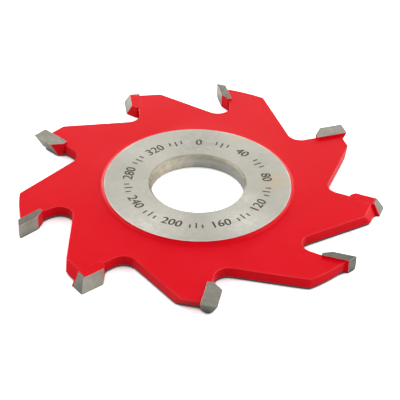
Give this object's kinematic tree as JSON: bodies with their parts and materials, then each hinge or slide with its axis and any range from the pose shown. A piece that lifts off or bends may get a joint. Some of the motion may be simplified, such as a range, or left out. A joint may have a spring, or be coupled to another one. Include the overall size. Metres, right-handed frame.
{
  "type": "grooving cutter",
  "caption": "Flat milling cutter for wood grooves: a painted toothed steel plate with a ground hub, a plain bore, open gullets and brazed hard tips that lean to either side.",
  "frame": {"origin": "on the bore axis, halfway between the two ground hub faces", "axes": "+Z along the bore axis, up as the cutter lies on a table; +Y towards the first raker tooth. The cutter turns anticlockwise seen from +Z"},
  "size_m": [0.1355, 0.1388, 0.0062],
  "materials": {
    "painted_plate": "glossy red paint over steel; the hub's two ring faces and the bore are ground bare",
    "hard_tip": "sintered carbide, finely ground on its cutting faces, red overspray on the rest"
  },
  "bodies": {
    "root": {"cutter_body": "painted_plate", "raker_tip_1": "hard_tip", "raker_tip_2": "hard_tip", "raker_tip_3": "hard_tip", "lower_spur_tip_1": "hard_tip", "lower_spur_tip_2": "hard_tip", "lower_spur_tip_3": "hard_tip", "upper_spur_tip_1": "hard_tip", "upper_spur_tip_2": "hard_tip", "upper_spur_tip_3": "hard_tip"}
  },
  "joints": []
}
